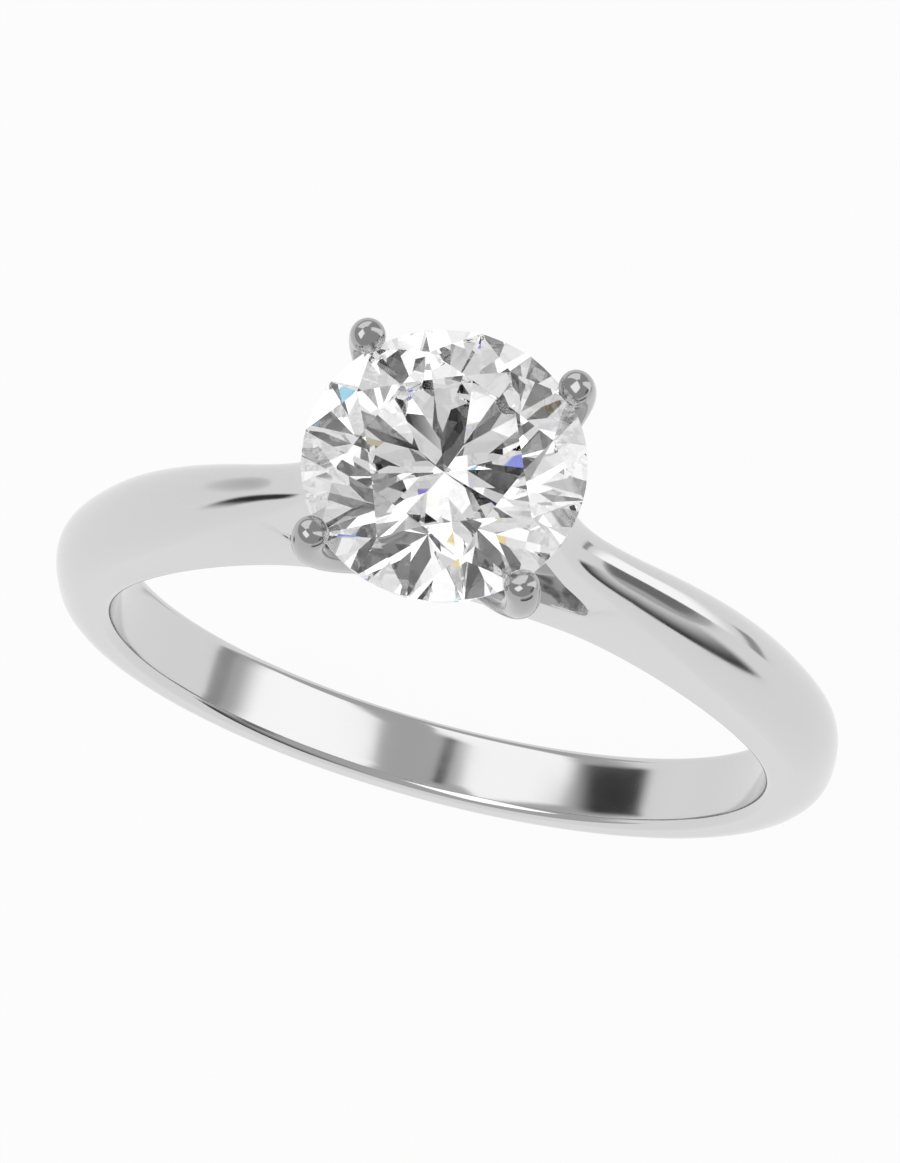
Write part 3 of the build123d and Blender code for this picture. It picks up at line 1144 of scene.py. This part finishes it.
@dataclass
class Studio:
    """Floor, surround, lamps and camera (millimetres and degrees)."""

    floor_gap: float = 0.05
    floor_size: float = 1600.0
    floor_colour: str = "#f4f4f4"
    floor_roughness: float = 0.9
    camera_azimuth: float = 14.87
    camera_elevation: float = 72.55
    camera_distance: float = 131.14
    camera_shift: Point = (0.129, 2.294)
    camera_lens: float = 157.57
    camera_sensor: float = 36.0
    lamp_azimuth: float = -40.0
    lamp_elevation: float = 58.0
    lamp_distance: float = 400.0
    lamp_size: float = 300.0
    lamp_power: float = 0.35      # watts
    head_height: float = 12.0     # what the lamp is turned to, above the ring's centre
    surround: float = 0.50        # brightness of the tent, as metal shows it
    surround_in_stone: float = 0.78    # and as the stone shows it
    floor_seen: float = 0.94      # how much of the floor that the eye sees is pure white
    floor_mirrored: float = 0.84  # and of the floor that metal and stone show

    def make_floor(self) -> None:
        """Pale floor just under the band: seen as white paper, with the ring's soft shadow kept."""
        low = CAD_BOX[0][2] - self.floor_gap * MM
        half = self.floor_size / 2 * MM
        mesh = bpy.data.meshes.new("floor")
        mesh.from_pydata([(-half, -half, low), (half, -half, low), (half, half, low), (-half, half, low)],
                         [], [(0, 1, 2, 3)])
        floor = new_object("floor", mesh)
        material, tree = new_material("floor_matt_white_paper")
        paper = tree.nodes["Principled BSDF"]
        paper.inputs["Base Color"].default_value = srgb(self.floor_colour)
        paper.inputs["Roughness"].default_value = self.floor_roughness
        light = add_node(tree, "ShaderNodeEmission", values={"Color": srgb("#ffffff"), "Strength": 1.0})
        ray = add_node(tree, "ShaderNodeLightPath")
        mirrored = reckon(tree, "ADD", ray.outputs["Is Glossy Ray"], ray.outputs["Is Transmission Ray"],
                          clamp=True)
        dimmed = reckon(tree, "MULTIPLY", mirrored, self.floor_mirrored)
        seen = reckon(tree, "MULTIPLY_ADD", ray.outputs["Is Camera Ray"], self.floor_seen, dimmed)
        both = add_node(tree, "ShaderNodeMixShader",
                        {0: seen, 1: paper.outputs["BSDF"], 2: light.outputs["Emission"]})
        tree.links.new(both.outputs["Shader"], tree.nodes["Material Output"].inputs["Surface"])
        mesh.materials.append(material)

    def make_world(self) -> None:
        """Even white tent round the set."""
        world = bpy.data.worlds.new("tent")
        bpy.context.scene.world = world
        world.use_nodes = True
        tree = world.node_tree
        tent = tree.nodes["Background"]
        tent.inputs["Color"].default_value = srgb("#ffffff")
        ray = add_node(tree, "ShaderNodeLightPath")
        bright = add_node(tree, "ShaderNodeMapRange", {"Value": ray.outputs["Is Transmission Ray"]},
                          {"To Min": self.surround, "To Max": self.surround_in_stone})
        tree.links.new(bright.outputs["Result"], tent.inputs["Strength"])
        white = add_node(tree, "ShaderNodeBackground", values={"Color": srgb("#ffffff"), "Strength": 1.0})
        both = add_node(tree, "ShaderNodeMixShader",
                        {0: ray.outputs["Is Camera Ray"], 1: tent.outputs["Background"],
                         2: white.outputs["Background"]})
        tree.links.new(both.outputs["Shader"], tree.nodes["World Output"].inputs["Surface"])

    def make_lamp(self) -> None:
        """Adds a square softbox above the left, facing the ring's head."""
        data = bpy.data.lights.new("softbox_top", "AREA")
        data.size = self.lamp_size * MM
        data.energy = self.lamp_power
        lamp = bpy.data.objects.new("softbox_top", data)
        bpy.context.scene.collection.objects.link(lamp)
        a, e = math.radians(self.lamp_azimuth), math.radians(self.lamp_elevation)
        way = Vector((math.cos(e) * math.sin(a), -math.cos(e) * math.cos(a), math.sin(e)))
        lamp.location = (Vector((0, 0, self.head_height)) + way * self.lamp_distance) * MM
        lamp.rotation_euler = way.to_track_quat("Z", "Y").to_euler()

    def make_camera(self) -> None:
        """Camera high above the front of the ring, a little to its right."""
        a, e = math.radians(self.camera_azimuth), math.radians(self.camera_elevation)
        right = Vector((math.cos(a), math.sin(a), 0))
        back = Vector((math.sin(a) * math.cos(e), -math.cos(a) * math.cos(e), math.sin(e)))
        up = back.cross(right)
        across, rise = self.camera_shift
        place = (back * self.camera_distance + right * across + up * rise) * MM
        data = bpy.data.cameras.new("camera")
        data.sensor_width = self.camera_sensor
        data.lens = self.camera_lens
        data.clip_start = 0.005
        data.clip_end = 10.0
        camera = bpy.data.objects.new("camera", data)
        bpy.context.scene.collection.objects.link(camera)
        camera.matrix_world = Matrix.Translation(place) @ Matrix((right, up, back)).transposed().to_4x4()
        bpy.context.scene.camera = camera

    def make_cards(self) -> None:
        """Cards that give the polished metal and the stone their contrast.

        The narrow tinted ones stand in for the coloured light that a diamond spreads.
        """
        cards = (
            Card("card_front_right", 40, 66, -10.2, 15, 42, 0.03, Seen.METAL, (0.35, 0.05, 0.95)),
            Card("card_left", -66, 12, 8.6, 12.6, 8.4, 0.03, Seen.METAL, (0.6, 0.4, 0.4)),
            Card("wall_left", -92, 80, -10.2, 22, 60, 0.93, Seen.METAL, (0.3, 0.02, 0.6)),
            Card("card_right_slit", 107, 24, -6, 1, 40, 0.35, Seen.METAL, (0.3, 0.3, 0.3)),
            Card("card_right", 82, 40, 11, 40, 60, 0.2, Seen.METAL, (0.4, 0.2, 0.5)),
            Card("card_back_left", -116, 26, -5.3, -0.4, 6.6, 0.04, Seen.METAL, (0.4, 0.15, 0.3)),
            Card("card_overhead", -165, 16, 104, 180, 38, 0.02, Seen.METAL, (0.2, 0.2, 0.2)),
            Card("softbox_back_right", 112, 34, 2, 96, 40, 1.35),
            Card("softbox_back", -147, 78, 21, 118, 40, 1.32),
            Card("card_lens", 15, 150, 60, 300, 38, 0.02, Seen.STONE),
            Card("card_side_right", 72, 44, 20, 110, 60, 0.02, Seen.STONE),
            Card("card_side_left", -88, 34, 30, 150, 60, 0.02, Seen.STONE),
            Card("softbox_front", -38, 46, 36, 118, 60, 1.3, Seen.STONE),
            Card("fire_blue", 40, 3, 40, 90, 58, 1.0, Seen.STONE, tint="#6070f0"),
            Card("fire_amber", -66, 6, 40, 150, 58, 1.0, Seen.STONE, tint="#f0d890"),
            Card("fire_violet", 160, 3, 40, 150, 39, 1.0, Seen.STONE, tint="#8070d8"),
            Card("fire_cyan", -12, 1, 40, 80, 37, 1.0, Seen.STONE, tint="#70c8e8"),
        )
        for card in cards:
            card.make()


def main() -> None:
    """Builds the ring, its finishes and the studio, in order."""
    logging.basicConfig(level=logging.INFO, format="%(name)s: %(message)s")
    scene = bpy.context.scene
    scene.view_settings.view_transform = "Standard"
    scene.cycles.max_bounces = 32
    scene.cycles.transmission_bounces = 32
    scene.cycles.glossy_bounces = 24
    studio = Studio()
    studio.make_camera()
    gold = PolishedGold().material()
    diamond = CutDiamond().material()
    # the claws are to the eye the same metal, a little greyer: that greyer colour is painted shade for
    # the darker surroundings they mirror
    claw_shaded_metal = PolishedGold("white_gold_rhodium_claw_painted_shade", "#b2b2b2").material()
    head = Head()
    pieces = [RingBody().make(gold), CentreStone().make(diamond), *head.make_claws(claw_shaded_metal),
              head.make_rail(gold), head.make_collet(gold), head.dress_peg(gold)]
    for piece in pieces:
        LOG.info("%s: %d faces", piece.name, len(piece.data.polygons))
    studio.make_floor()
    studio.make_world()
    studio.make_lamp()
    studio.make_cards()


if __name__ == "__main__":
    main()
